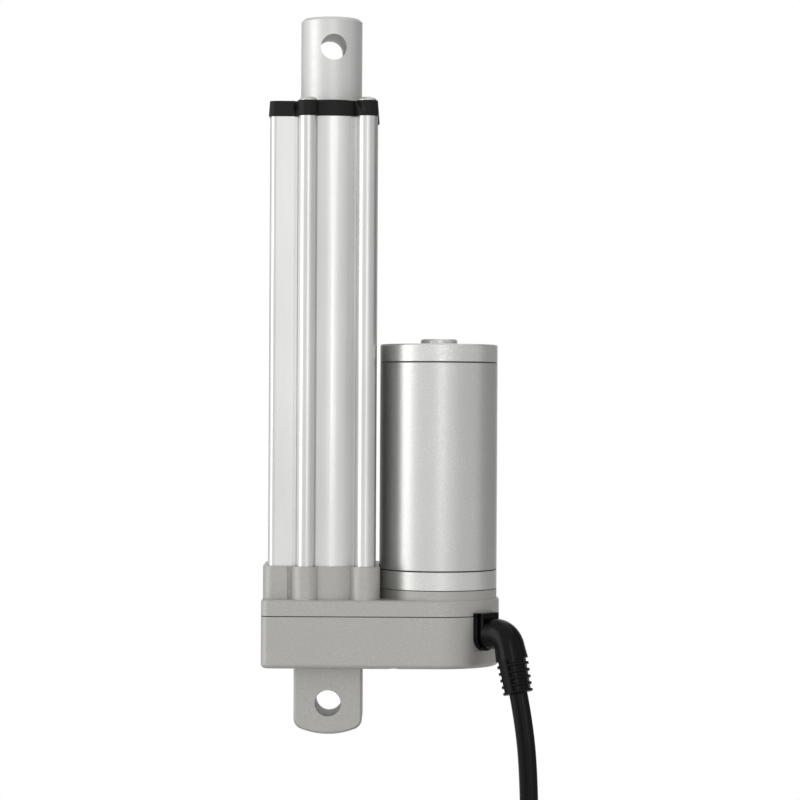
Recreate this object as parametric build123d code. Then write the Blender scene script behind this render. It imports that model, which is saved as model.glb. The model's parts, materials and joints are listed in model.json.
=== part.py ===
from build123d import *
import os
from math import asin, cos, degrees, pi, radians, sin, sqrt, tan

# Electric linear actuator, 12 V class, 100 mm stroke, drawn fully retracted.
# Millimetres. Origin at the centre of the rear pin hole, +Z along the rod as it extends,
# +X towards the motor, +Y away from the viewer of the reference view.

# Pin to pin
pin_to_pin = 212.6
pin_hole_diameter = 8.4
stroke = 100.0

# Rod
rod_diameter = 20.0
rod_wall = 2.4
rod_over_pin = 9.9
rod_end_chamfer = 0.9
rod_turn = 5.5
rod_bottom = 57.0
plug_depth = 26.0

# Gearbox housing
tab_width = 22.2
tab_thickness = 20.0
tab_below_pin = 10.0
tab_crown_radius = 24.0
tab_corner_radius = 3.6
housing_bottom = 12.0
parting_level = 28.6
flange_top = 34.0
housing_left = 21.4
housing_half_depth = 20.0
housing_corner_radius = 2.8
housing_edge_radius = 1.4
housing_wall = 2.4
floor_thickness = 2.6
roof_thickness = 2.2
gasket_thickness = 0.3
collar_top = 44.6
collar_wall = 1.6
collar_grip = 0.2
screw_boss_radius = 3.0
screw_boss_inset = 2.0
axle_boss_radius = 4.0
bearing_boss_wall = 1.6
bearing_lip = 2.2
pinion_hole_radius = 8.0

# Outer tube, an extrusion of one profile
core_radius = 16.2
bore_radius = 14.0
flat_side = 14.8
channel_left = 19.5
channel_half_depth = 13.4
channel_corner_radius = 2.2
channel_wall = 1.8
channel_mouth = 8.0
groove_position = 11.5
groove_depth = 0.9
lobe_radius = 3.3
lobe_left = 7.1
lobe_right = 11.9
lobe_offset = 14.5
screw_channel_radius = 1.65
tube_seat = 36.8
tube_top = 189.6

# Front cap
cap_height = 5.0
cap_overhang = 0.5
cap_draft = 0.35
cap_skirt_clearance = 0.3
wiper_height = 2.2
wiper_wall = 2.0
wiper_lip_height = 0.8
bush_length = 16.0
cap_gasket_thickness = 0.4
spigot_length = 4.0

# Motor
motor_offset = 35.6
motor_radius = 19.2
seat_height = 2.9
bell_height = 6.3
can_length = 67.4
motor_cap_height = 5.9
motor_boss_radius = 6.0
motor_boss_height = 1.7
seam_chamfer = 0.3
bell_wall = 2.6
bell_floor = 2.4
motor_cap_floor = 2.5
motor_bush_radius = 4.2
can_wall = 1.6
magnet_thickness = 2.6
armature_radius = 14.2
armature_length = 36.0
armature_slots = 7
armature_over_seam = 17.0
magnet_over_armature = 3.0
winding_overhang = 5.0
commutator_radius = 5.0
commutator_length = 8.0
commutator_over_seam = 0.6
brush_width = 4.0
brush_height = 4.2
brush_level = 2.0
card_thickness = 1.4
motor_shaft_radius = 2.5

# Gear train
gear_module = 0.8
output_teeth = 36
idler_small_teeth = 12
idler_big_teeth = 29
pinion_teeth = 12
addendum_factor = 0.85
dedendum_factor = 1.2
backlash = 0.16
pressure_angle = 20.0
low_gear_bottom = 15.2
low_gear_height = 6.6
high_gear_bottom = 22.6
high_gear_height = 5.0
axle_radius = 2.0
axle_seat_depth = 1.6
axle_roof_depth = 0.8

# Lead screw and its bearings
screw_radius = 5.0
journal_radius = 4.0
bearing_outer_radius = 11.0
bearing_inner_radius = 4.0
bearing_width = 7.0
bearing_bottom = 29.2
ball_count = 7
ball_radius = 1.9
lower_bush_radius = 6.0
lower_journal_radius = 3.0
lower_bush_bottom = 8.6
tip_guide_length = 5.0

# Drive nut
nut_bottom = 46.0
nut_radius = 13.5
nut_height = 14.0
nut_neck_length = 14.0
nut_cam_reach = 13.9
nut_cam_width = 7.0
nut_pin_radius = 1.2

# Limit switches
switch_length = 12.8
switch_width = 5.8
switch_depth = 2.4
board_thickness = 1.0
board_width = 9.0
plunger_size = 1.6
plunger_reach = 0.9
plunger_travel = 0.4

# Clearances
running_clearance = 0.05
sliding_clearance = 0.3
end_clearance = 0.6

# Fasteners
cap_screw_radius = 2.0
cap_screw_head_radius = 3.1
cap_screw_head_height = 1.9
cap_screw_length = 12.0
inner_screw_head_radius = 2.9
inner_screw_head_height = 1.8
cover_screw_radius = 1.5
cover_screw_head_radius = 2.8
cover_screw_head_height = 1.7
cover_screw_sink = 2.0

# Cable entry, seen from above it points this many degrees forward of +X
cable_angle = 42.0
gland_bottom = 17.6
gland_top = 29.9
gland_width = 9.6
gland_plate = 1.7
gland_block = 3.4
neck_width = 6.0
elbow_radius = 4.9
elbow_level = 23.3
elbow_reach = 25.3
elbow_bend = 5.6
boot_lean = 14.3
boot_smooth_length = 3.9
boot_end_radius = 4.1
rib_count = 5
rib_pitch = 2.15
rib_height = 0.85
rib_width = 1.0
spine_width = 3.4

# Lead
lead_diameter = 5.9
lead_first_run = 12.0
lead_bend = (64.55, -25.62, -24.5)
lead_foot = (64.7, -25.7)
hank_top = -35.2
hank_height = 112.0
hank_width = 42.0
hank_waist = 13.0
hank_turns = 4
hank_gap = 0.2
tie_width = 5.0
tie_thickness = 1.2
wire_radius = 1.1
wire_length = 18.0

# Worked out from the above
rod_radius = rod_diameter / 2
rod_bore_radius = rod_radius - rod_wall
rod_top = pin_to_pin + rod_over_pin
pin_radius = pin_hole_diameter / 2
cavity_floor = housing_bottom + floor_thickness
cavity_roof = flange_top - roof_thickness
cavity_half_depth = housing_half_depth - housing_wall
upper_bottom = parting_level + gasket_thickness
bell_bottom = flange_top + seat_height
can_bottom = bell_bottom + bell_height
can_top = can_bottom + can_length
motor_cap_top = can_top + motor_cap_height
cap_bottom = tube_top + cap_gasket_thickness
cap_top = tube_top + cap_height
bearing_top = bearing_bottom + bearing_width
screw_top = rod_bottom + nut_neck_length + stroke + end_clearance
board_left = -channel_left + channel_wall + running_clearance
output_pitch = gear_module * output_teeth / 2
idler_big_pitch = gear_module * idler_big_teeth / 2
idler_offset = gear_module * (output_teeth + idler_small_teeth) / 2
hank_thickness = hank_turns * lead_diameter + 0.4
hank_lobe_offset = hank_height / 2 - hank_width / 2
lobes = [
    (-lobe_left, -lobe_offset),
    (-lobe_left, lobe_offset),
    (lobe_right, -lobe_offset),
    (lobe_right, lobe_offset),
]
screw_corner_x = -housing_left + housing_wall + screw_boss_inset
screw_corner_y = cavity_half_depth - screw_boss_inset
cover_screws = [
    (screw_corner_x, -screw_corner_y),
    (screw_corner_x, screw_corner_y),
    (idler_offset + 2.0, -screw_corner_y - 0.8),
    (idler_offset + 2.0, screw_corner_y + 0.8),
    (motor_offset + screw_corner_y - 0.6, 4.0),
]
motor_screws = [
    (motor_offset, -12.5),
    (motor_offset, 12.5),
]


def disc(radius, low, high, x=0.0, y=0.0):
    """Upright cylinder between two levels."""
    return Pos(x, y, low) * Cylinder(radius, high - low, align=(Align.CENTER, Align.CENTER, Align.MIN))


def ring(outer, inner, low, high, x=0.0, y=0.0):
    """Upright tube between two levels."""
    return disc(outer, low, high, x, y) - disc(inner, low - 1, high + 1, x, y)


def block(x_low, x_high, y_low, y_high, low, high):
    """Box given by its limits."""
    centre = ((x_low + x_high) / 2, (y_low + y_high) / 2, (low + high) / 2)
    return Pos(*centre) * Box(x_high - x_low, y_high - y_low, high - low)


def slab(sketch, low, high):
    """Sketch in plan, raised between two levels."""
    return Pos(0, 0, low) * extrude(sketch, amount=high - low)


def outer_rims(shape, radius):
    """Circular edges of the given radius."""
    circles = shape.edges().filter_by(GeomType.CIRCLE)
    return circles.filter_by(lambda edge: abs(edge.radius - radius) < 0.01)


def plan_block(x_low, x_high, half_depth):
    """Rectangle in plan, centred on the X axis."""
    return Pos((x_low + x_high) / 2, 0) * Rectangle(x_high - x_low, 2 * half_depth)


def save(node, shape):
    """Write one sub-part, a single solid or a group of separate ones."""
    solids = shape if isinstance(shape, list) else [shape]
    flat = [solid for item in solids for solid in item.solids()]
    result = flat[0] if len(flat) == 1 else Compound(children=flat)
    export_step(result, os.path.join("parts", node + ".step"))


def profile(grow, groove_shift=0.0):
    """Outline of the extrusion, or of what is wrapped round it by the given growth."""
    core = Circle(core_radius + grow) & plan_block(-core_radius - 9, flat_side + grow, core_radius + 9)
    edge = -groove_position + groove_shift
    channel = plan_block(-channel_left - grow, edge, channel_half_depth + grow)
    corners = channel.vertices().group_by(Axis.X)[0]
    channel = fillet(corners, channel_corner_radius + grow)
    floor = plan_block(edge - 1, -lobe_left, channel_half_depth + grow - groove_depth)
    outline = core + channel + floor
    for x, y in lobes:
        outline += Pos(x, y) * Circle(lobe_radius + grow)
    web = plan_block(lobe_right - lobe_radius - grow, flat_side + grow, lobe_offset)
    return outline + web


def tube_hollow():
    """Bore and switch channel of the extrusion."""
    pocket = plan_block(-channel_left + channel_wall, -channel_mouth, channel_half_depth - channel_wall)
    pocket = fillet(pocket.vertices().group_by(Axis.X)[0], 0.8)
    return Circle(bore_radius) + pocket


def make_outer_tube():
    section = profile(0) - tube_hollow()
    for x, y in lobes:
        section -= Pos(x, y) * Circle(screw_channel_radius)
    return slab(section, tube_seat, tube_top)


def housing_outline(shrink):
    """Plan of the gearbox: square with small corners at the rod, round at the motor."""
    half = housing_half_depth - shrink
    left = plan_block(-housing_left + shrink, motor_offset, half)
    left = fillet(left.vertices().group_by(Axis.X)[0], max(housing_corner_radius - shrink, 0.6))
    return left + Pos(motor_offset, 0) * Circle(half)


def at_cable(shape, distance, level):
    """Turn a shape drawn along +X to the cable entry and move it out from the motor axis."""
    place = Pos(motor_offset, 0, level) * Rot(0, 0, -cable_angle) * Pos(distance, 0, 0)
    return place * shape


def neck_slot():
    """Way through the wall for the neck of the cable gland, open at the parting."""
    height = upper_bottom - gland_bottom - 2.0
    slot = Box(housing_wall + 4, neck_width, height)
    return at_cable(slot, housing_half_depth - housing_wall / 2, upper_bottom - height / 2)


def plate_recess():
    """Flat spot that the face plate of the cable gland sits on."""
    tool = Box(4, gland_width, gland_top - gland_bottom)
    flat = sqrt(housing_half_depth ** 2 - (gland_width / 2) ** 2)
    return at_cable(tool, flat + 2, (gland_top + gland_bottom) / 2)


def make_lower_housing():
    shell = slab(housing_outline(0), housing_bottom, parting_level)
    bottom_edges = shell.edges().filter_by_position(Axis.Z, housing_bottom, housing_bottom)
    shell = fillet(bottom_edges, housing_edge_radius)
    shell -= slab(housing_outline(housing_wall), cavity_floor, parting_level + 1)
    tab = rear_tab()
    shell += tab
    for x, y in cover_screws:
        boss = Pos(x, y) * Circle(screw_boss_radius) & housing_outline(0.4)
        shell += slab(boss, cavity_floor - 1, parting_level)
    shell += disc(axle_boss_radius, cavity_floor - 1, low_gear_bottom - sliding_clearance, idler_offset)
    shell -= disc(axle_radius, cavity_floor - axle_seat_depth, low_gear_bottom, idler_offset)
    shell -= disc(lower_bush_radius, lower_bush_bottom, cavity_floor + 1)
    shell -= disc(lower_journal_radius + 1, lower_bush_bottom - 0.6, lower_bush_bottom + 1)
    for x, y in cover_screws:
        shell -= disc(cover_screw_radius + 0.2, housing_bottom - 1, parting_level + 1, x, y)
        sink_top = housing_bottom + cover_screw_sink
        shell -= disc(cover_screw_head_radius + 0.2, housing_bottom - 1, sink_top, x, y)
    shell -= neck_slot()
    shell -= plate_recess()
    return shell


def rear_tab():
    """Rear eye: a thick tab with a crowned end and a cross hole."""
    half = tab_width / 2
    side_end = -tab_below_pin + tab_crown_radius - sqrt(tab_crown_radius ** 2 - half ** 2)
    top = housing_bottom + floor_thickness
    left_top = (-half, top)
    left_end = (-half, side_end)
    right_end = (half, side_end)
    right_top = (half, top)
    edges = [
        Line(left_top, left_end),
        ThreePointArc(left_end, (0, -tab_below_pin), right_end),
        Line(right_end, right_top),
        Line(right_top, left_top),
    ]
    outline = make_face(edges)
    outline = fillet(outline.vertices().group_by(Axis.Y)[0], tab_corner_radius)
    tab = extrude(Plane.XZ * outline, amount=tab_thickness / 2, both=True)
    rim = tab.edges().filter_by(lambda edge: abs(abs(edge.center().Y) - tab_thickness / 2) < 0.01)
    rim = rim.filter_by(lambda edge: edge.center().Z < top - 0.1)
    tab = chamfer(rim, 0.7)
    return tab - Rot(90, 0, 0) * Cylinder(pin_radius, tab_thickness + 2)


def make_upper_housing():
    flange = slab(housing_outline(0), upper_bottom, flange_top)
    flange = chamfer(flange.edges().filter_by_position(Axis.Z, flange_top, flange_top), 0.5)
    collar_outline = profile(collar_wall, -collar_wall)
    body = flange + slab(collar_outline, flange_top - 1, collar_top)
    body += disc(motor_radius, flange_top - 1, bell_bottom, motor_offset)
    body -= slab(profile(collar_grip, collar_grip), tube_seat - cap_gasket_thickness, collar_top + 1)
    cavity = slab(housing_outline(housing_wall), upper_bottom - 1, cavity_roof)
    keep = disc(bearing_outer_radius + bearing_boss_wall, upper_bottom, cavity_roof)
    keep += disc(axle_boss_radius, high_gear_bottom + high_gear_height + 0.4, cavity_roof, idler_offset)
    for x, y in cover_screws:
        keep += disc(screw_boss_radius, upper_bottom, cavity_roof, x, y)
    body -= cavity - keep
    body -= disc(bearing_outer_radius, upper_bottom - 1, bearing_top)
    body -= disc(bearing_outer_radius - bearing_lip, upper_bottom - 1, tube_seat + 1)
    body -= disc(axle_radius, upper_bottom - 1, cavity_roof + axle_roof_depth, idler_offset)
    body -= disc(pinion_hole_radius, upper_bottom - 1, bell_bottom + 1, motor_offset)
    for x, y in lobes:
        body -= disc(cap_screw_radius + 0.2, upper_bottom - 1, tube_seat + 1, x, y)
        body -= disc(inner_screw_head_radius + 0.3, upper_bottom - 1, cavity_roof, x, y)
    for x, y in motor_screws:
        body -= disc(cover_screw_radius + 0.2, upper_bottom - 1, bell_bottom + 1, x, y)
    for x, y in cover_screws:
        body -= disc(cover_screw_radius, upper_bottom - 1, cavity_roof + 0.4, x, y)
    body -= plate_recess()
    return body


def make_housing_gasket():
    sheet = housing_outline(0.3) - housing_outline(housing_wall)
    for x, y in cover_screws:
        sheet += Pos(x, y) * Circle(screw_boss_radius) & housing_outline(0.3)
    for x, y in cover_screws:
        sheet -= Pos(x, y) * Circle(cover_screw_radius + 0.2)
    gasket = slab(sheet, parting_level, upper_bottom)
    gasket -= neck_slot()
    gasket -= plate_recess()
    return gasket


def make_tube_gasket():
    sheet = profile(0) - Circle(bearing_outer_radius - 1.0)
    for x, y in lobes:
        sheet -= Pos(x, y) * Circle(cap_screw_radius + 0.3)
    return slab(sheet, tube_seat - cap_gasket_thickness, tube_seat)


def make_front_cap():
    foot = Pos(0, 0, cap_bottom) * profile(cap_overhang).face()
    crown = Pos(0, 0, cap_top) * profile(cap_overhang - cap_draft).face()
    cap = loft([foot, crown], ruled=True)
    spigot = Circle(bore_radius - cap_skirt_clearance)
    cap += slab(spigot, cap_bottom - spigot_length, cap_bottom + 1)
    cap -= disc(rod_radius + sliding_clearance, cap_bottom - spigot_length - 1, cap_top + 1)
    cap -= disc(rod_radius + wiper_wall, cap_top - wiper_height, cap_top + 1)
    for x, y in lobes:
        cap -= disc(cap_screw_radius + 0.15, cap_bottom - 1, cap_top + 1, x, y)
    return cap


def make_cap_gasket():
    sheet = profile(0.1) - Circle(bore_radius)
    sheet -= plan_block(-channel_left + channel_wall, -channel_mouth, channel_half_depth - channel_wall)
    for x, y in lobes:
        sheet -= Pos(x, y) * Circle(cap_screw_radius + 0.15)
    return slab(sheet, tube_top, cap_bottom)


def make_rod_wiper():
    low = cap_top - wiper_height
    up = (Align.CENTER, Align.CENTER, Align.MIN)
    lip = Cone(rod_radius + 0.7 * wiper_wall, rod_radius + 0.25 * wiper_wall, wiper_lip_height, align=up)
    wiper = disc(rod_radius + wiper_wall, low, cap_top) + Pos(0, 0, cap_top) * lip
    return wiper - disc(rod_radius + running_clearance, low - 1, cap_top + 2)


def make_guide_bush():
    high = cap_bottom - spigot_length
    low = high - bush_length
    bush = ring(bore_radius - 0.05, rod_radius + running_clearance, low, high)
    return bush


def pan_screw(x, y, seat, radius, length, head_radius, head_height, up=True):
    """Pan head screw: head on its seat, shank going the other way, cross recess in the head."""
    head = Cylinder(head_radius, head_height, align=(Align.CENTER, Align.CENTER, Align.MIN))
    head = fillet(head.edges().filter_by_position(Axis.Z, head_height, head_height), head_height * 0.55)
    recess = Box(head_radius * 1.2, 0.7, 1.6) + Box(0.7, head_radius * 1.2, 1.6)
    head -= Pos(0, 0, head_height) * recess
    shank = Cylinder(radius, length, align=(Align.CENTER, Align.CENTER, Align.MAX))
    screw = head + shank
    if not up:
        screw = Rot(180, 0, 0) * screw
    return Pos(x, y, seat) * screw


def make_cap_screws():
    head = (cap_screw_head_radius, cap_screw_head_height)
    return [pan_screw(x, y, cap_top, screw_channel_radius, cap_screw_length, *head) for x, y in lobes]


def make_tube_screws():
    length = tube_seat - cavity_roof + 8
    head = (inner_screw_head_radius, inner_screw_head_height)
    return [pan_screw(x, y, cavity_roof, screw_channel_radius, length, *head, up=False) for x, y in lobes]


def make_motor_screws():
    length = bell_bottom - cavity_roof + 4
    sizes = (cavity_roof, cover_screw_radius, length, cover_screw_head_radius, inner_screw_head_height)
    return [pan_screw(x, y, *sizes, up=False) for x, y in motor_screws]


def make_cover_screws():
    seat = housing_bottom + cover_screw_sink
    length = cavity_roof + 0.2 - seat
    head = (cover_screw_head_radius, cover_screw_head_height)
    return [pan_screw(x, y, seat, cover_screw_radius, length, *head, up=False) for x, y in cover_screws]


def make_motor_bell():
    bell = ring(motor_radius, motor_radius - bell_wall, bell_bottom, can_bottom, motor_offset)
    bell += disc(motor_radius - 1, bell_bottom, bell_bottom + bell_floor, motor_offset)
    bell = chamfer(outer_rims(bell, motor_radius), seam_chamfer)
    bell -= disc(motor_bush_radius, bell_bottom - 1, can_bottom, motor_offset)
    for x, y in motor_screws:
        bell -= disc(cover_screw_radius, bell_bottom - 1, bell_bottom + 4, x, y)
    return bell


def make_motor_can():
    can = ring(motor_radius, motor_radius - can_wall, can_bottom, can_top, motor_offset)
    return chamfer(outer_rims(can, motor_radius), seam_chamfer)


def make_motor_cap():
    low = can_top
    cap = disc(motor_radius, low, motor_cap_top, motor_offset)
    cap = fillet(cap.edges().filter_by_position(Axis.Z, motor_cap_top, motor_cap_top), 0.7)
    cap = chamfer(cap.edges().filter_by_position(Axis.Z, low, low), seam_chamfer)
    boss_top = motor_cap_top + motor_boss_height
    boss = disc(motor_boss_radius, motor_cap_top - 1, boss_top, motor_offset)
    cap += chamfer(boss.edges().filter_by_position(Axis.Z, boss_top, boss_top), 0.4)
    cap -= disc(motor_radius - bell_wall, low - 1, motor_cap_top - motor_cap_floor, motor_offset)
    cap -= disc(motor_bush_radius, low - 1, motor_cap_top, motor_offset)
    return cap


def make_motor_bushes():
    bore = motor_shaft_radius + running_clearance
    lower = ring(motor_bush_radius, bore, bell_bottom, bell_bottom + bell_floor, motor_offset)
    upper = ring(motor_bush_radius, bore, motor_cap_top - motor_cap_floor, motor_cap_top, motor_offset)
    return [lower, upper]


def make_magnets():
    outer = motor_radius - can_wall
    inner = outer - magnet_thickness
    low = can_bottom + armature_over_seam - magnet_over_armature
    high = low + armature_length + 2 * magnet_over_armature
    tube = ring(outer, inner, low, high, motor_offset)
    gap = block(motor_offset - 5.5, motor_offset + 5.5, -outer - 1, outer + 1, low - 1, high + 1)
    return (tube - gap).solids()


def make_brush_card():
    low = can_bottom
    outer = motor_radius - can_wall - 0.1
    card = ring(outer, commutator_radius + 1.6, low, low + card_thickness, motor_offset)
    half = brush_width / 2
    brush_top = low + brush_level + brush_height
    for side in (-1, 1):
        ends = sorted([side * (commutator_radius + 2.4), side * (armature_radius - 0.2)])
        x_low, x_high = motor_offset + ends[0], motor_offset + ends[1]
        card += block(x_low, x_high, -half - 1.4, half + 1.4, low + card_thickness - 0.4, brush_top + 0.8)
        card -= block(x_low - 1, x_high + 1, -half, half, low + brush_level, brush_top)
    return card


def make_brushes():
    low = can_bottom
    pair = []
    for side in (-1, 1):
        ends = sorted([side * (commutator_radius + 0.1), side * (commutator_radius + 6.0)])
        x_low, x_high = motor_offset + ends[0], motor_offset + ends[1]
        half = brush_width / 2
        pair.append(block(x_low, x_high, -half, half, low + brush_level, low + brush_level + brush_height))
    return pair


def make_motor_shaft():
    top = motor_cap_top - 0.6
    shaft = disc(motor_shaft_radius, high_gear_bottom + 0.2, top, motor_offset)
    return chamfer(shaft.edges().filter_by(GeomType.CIRCLE), 0.3)


def make_armature():
    low = can_bottom + armature_over_seam
    high = low + armature_length
    core = disc(armature_radius, low, high, motor_offset)
    slot = Pos(armature_radius - 2.6, 0, 0) * Box(6.6, 1.8, armature_length + 2)
    slot += Pos(armature_radius - 5.6, 0, 0) * Cylinder(2.2, armature_length + 2)
    for index in range(armature_slots):
        place = Pos(motor_offset, 0, (low + high) / 2) * Rot(0, 0, 360 * index / armature_slots)
        core -= place * slot
    winding = disc(armature_radius - 3.4, low - winding_overhang, high + winding_overhang, motor_offset)
    winding -= disc(armature_radius, low, high, motor_offset)
    core += winding
    return core - disc(motor_shaft_radius, low - 9, high + 9, motor_offset)


def make_commutator():
    low = can_bottom + commutator_over_seam
    drum = ring(commutator_radius, motor_shaft_radius, low, low + commutator_length, motor_offset)
    for index in range(armature_slots):
        cut = Rot(0, 0, 360 * index / armature_slots) * Pos(commutator_radius, 0, 0) * Box(1.2, 0.4, 30)
        drum -= Pos(motor_offset, 0, low) * cut
    return drum


def involute_point(base, angle):
    """Point of the involute of a base circle at an unwinding angle in radians."""
    return base * (cos(angle) + angle * sin(angle)), base * (sin(angle) - angle * cos(angle))


def gear_sketch(teeth, turn):
    """Spur gear outline; with no turn one tooth points along +X."""
    pitch = gear_module * teeth / 2
    base = pitch * cos(radians(pressure_angle))
    tip = pitch + gear_module * addendum_factor
    root = pitch - gear_module * dedendum_factor
    half_tooth = (pi * gear_module / 2 - backlash) / 2 / pitch
    at_pitch = tan(radians(pressure_angle)) - radians(pressure_angle)
    tooth_rotation = half_tooth + at_pitch
    start = max(base, root)

    def flank(radius):
        unwound = sqrt(max((radius / base) ** 2 - 1, 0))
        x, y = involute_point(base, unwound)
        spun = tooth_rotation
        return x * cos(spun) + y * sin(spun), x * sin(spun) - y * cos(spun)

    foot = flank(start)
    middle = flank((start + tip) / 2)
    top = flank(tip)
    foot_angle = degrees(asin(foot[1] / start))
    inner = (root * 0.97 * cos(radians(foot_angle)), root * 0.97 * sin(radians(foot_angle)))
    upper = [Line(inner, foot), ThreePointArc(foot, middle, top)]
    lower = [edge.mirror(Plane.XZ) for edge in upper]
    cap = ThreePointArc(top, (tip, 0), (top[0], -top[1]))
    inner_low = (inner[0], -inner[1])
    base_line = Line(inner_low, inner)
    tooth = make_face(upper + [cap] + lower + [base_line])
    wheel = Circle(root)
    for index in range(teeth):
        wheel += Rot(0, 0, turn + 360 * index / teeth) * tooth
    return wheel


def make_output_gear():
    wheel = gear_sketch(output_teeth, 0) - Circle(journal_radius)
    gear = slab(wheel, low_gear_bottom, low_gear_bottom + low_gear_height)
    web = ring(output_pitch - 3.0, journal_radius + 2.6, low_gear_bottom - 1, low_gear_bottom + 1.6)
    return gear - web


def make_idler_gear():
    small = gear_sketch(idler_small_teeth, 180 + 180 / idler_small_teeth)
    big = gear_sketch(idler_big_teeth, 0)
    high = high_gear_bottom + high_gear_height
    gear = slab(small, low_gear_bottom, high_gear_bottom + 1) + slab(big, high_gear_bottom, high)
    gear -= ring(idler_big_pitch - 3.0, 5.4, high - 1.2, high + 1)
    gear = Pos(idler_offset, 0, 0) * gear
    return gear - disc(axle_radius + running_clearance, low_gear_bottom - 1, high + 1, idler_offset)


def make_pinion():
    sketch = gear_sketch(pinion_teeth, 180 + 180 / pinion_teeth) - Circle(motor_shaft_radius)
    pinion = slab(sketch, high_gear_bottom, high_gear_bottom + high_gear_height + 2)
    return Pos(motor_offset, 0, 0) * pinion


def make_idler_axle():
    axle = disc(axle_radius, cavity_floor - axle_seat_depth, cavity_roof + axle_roof_depth, idler_offset)
    return chamfer(axle.edges().filter_by(GeomType.CIRCLE), 0.3)


def make_lead_screw():
    screw = disc(screw_radius, bearing_top + 0.1, screw_top)
    screw = chamfer(screw.edges().filter_by_position(Axis.Z, screw_top, screw_top), 0.8)
    screw += disc(journal_radius, low_gear_bottom - 0.2, bearing_top + 0.2)
    screw += disc(lower_journal_radius, lower_bush_bottom + 0.3, low_gear_bottom)
    return screw


def make_tip_guide():
    guide = ring(rod_bore_radius - sliding_clearance, screw_radius - 1.6, screw_top, screw_top + 1.2)
    cap = disc(rod_bore_radius - sliding_clearance, screw_top, screw_top + tip_guide_length)
    cap = fillet(cap.edges().filter_by(GeomType.CIRCLE), 0.8)
    return cap + guide


def race_profile_ring(outer, inner):
    """Bearing race with a groove for the balls."""
    middle = (bearing_bottom + bearing_top) / 2
    track = (bearing_outer_radius + bearing_inner_radius) / 2
    race = ring(outer, inner, bearing_bottom, bearing_top)
    groove = Pos(0, 0, middle) * Torus(track, ball_radius + running_clearance)
    return race - groove


def make_bearing_outer():
    track = (bearing_outer_radius + bearing_inner_radius) / 2
    return race_profile_ring(bearing_outer_radius, track + 1.2)


def make_bearing_inner():
    track = (bearing_outer_radius + bearing_inner_radius) / 2
    return race_profile_ring(track - 1.2, bearing_inner_radius)


def make_bearing_balls():
    middle = (bearing_bottom + bearing_top) / 2
    track = (bearing_outer_radius + bearing_inner_radius) / 2
    balls = []
    for index in range(ball_count):
        angle = 2 * pi * index / ball_count
        balls.append(Pos(track * cos(angle), track * sin(angle), middle) * Sphere(ball_radius))
    return balls


def make_gear_spacer():
    """Sleeve on the screw between the output gear and the bearing."""
    return ring(journal_radius + 1.4, journal_radius, low_gear_bottom + low_gear_height, bearing_bottom)


def make_lower_bush():
    collar = low_gear_bottom - 0.2
    return ring(lower_bush_radius, lower_journal_radius + running_clearance, lower_bush_bottom, collar)


def rod_cross_hole():
    turned = Rot(0, 0, rod_turn) * (Rot(90, 0, 0) * Cylinder(pin_radius, rod_diameter + 4))
    return Pos(0, 0, pin_to_pin) * turned


def make_rod_tube():
    tube = ring(rod_radius, rod_bore_radius, rod_bottom, rod_top - 1.5)
    for pin in make_nut_pins():
        tube -= pin
    return tube - rod_cross_hole()


def make_rod_plug():
    low = rod_top - plug_depth
    plug = disc(rod_bore_radius, low, rod_top)
    head = disc(rod_radius, rod_top - 1.5, rod_top)
    head = chamfer(head.edges().filter_by_position(Axis.Z, rod_top, rod_top), rod_end_chamfer)
    return plug + head - rod_cross_hole()


def make_drive_nut():
    high = nut_bottom + nut_height
    nut = disc(nut_radius, nut_bottom, high - 3)
    nut += disc(rod_radius, nut_bottom + 1, rod_bottom)
    nut += disc(rod_bore_radius, nut_bottom + 1, rod_bottom + nut_neck_length)
    cam = block(-nut_cam_reach, -nut_radius + 2, -nut_cam_width / 2, nut_cam_width / 2, nut_bottom, high - 3)
    nut += cam
    for pin in make_nut_pins():
        nut -= pin
    return nut - disc(screw_radius + running_clearance, nut_bottom - 1, rod_bottom + nut_neck_length + 1)


def make_nut_pins():
    level = rod_bottom + nut_neck_length / 2
    inner = screw_radius + sliding_clearance + 0.4
    outer = rod_radius - 0.1
    pin = Cylinder(nut_pin_radius, outer - inner)
    middle = (inner + outer) / 2
    return [Pos(side * middle, 0, level) * Rot(0, 90, 0) * pin for side in (-1, 1)]


def switch_levels():
    """Level of each switch's plunger: just past the cam at either end of the stroke."""
    lower = nut_bottom - 1.4
    upper = nut_bottom + stroke + nut_height - 3 + 1.4
    return lower, upper


def make_switch_board():
    lower, upper = switch_levels()
    half = board_width / 2
    return block(board_left, board_left + board_thickness, -half, half, lower - 5, upper + 12)


def switch_body(level, direction):
    """Micro switch with its long side along the board, plunger near one end."""
    face = board_left + board_thickness
    ends = sorted([level - direction * 2.4, level + direction * (switch_length - 2.4)])
    body = block(face, face + switch_depth, -switch_width / 2, switch_width / 2, ends[0], ends[1])
    reach = plunger_size / 2 + 0.1
    body -= block(face + 0.8, face + 9, -reach, reach, level - reach, level + reach)
    return body


def make_plunger(level):
    face = board_left + board_thickness + switch_depth
    half = plunger_size / 2
    low = face - switch_depth + 0.8 + plunger_travel + 0.1
    return block(low, face + plunger_reach, -half, half, level - half, level + half)


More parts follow.
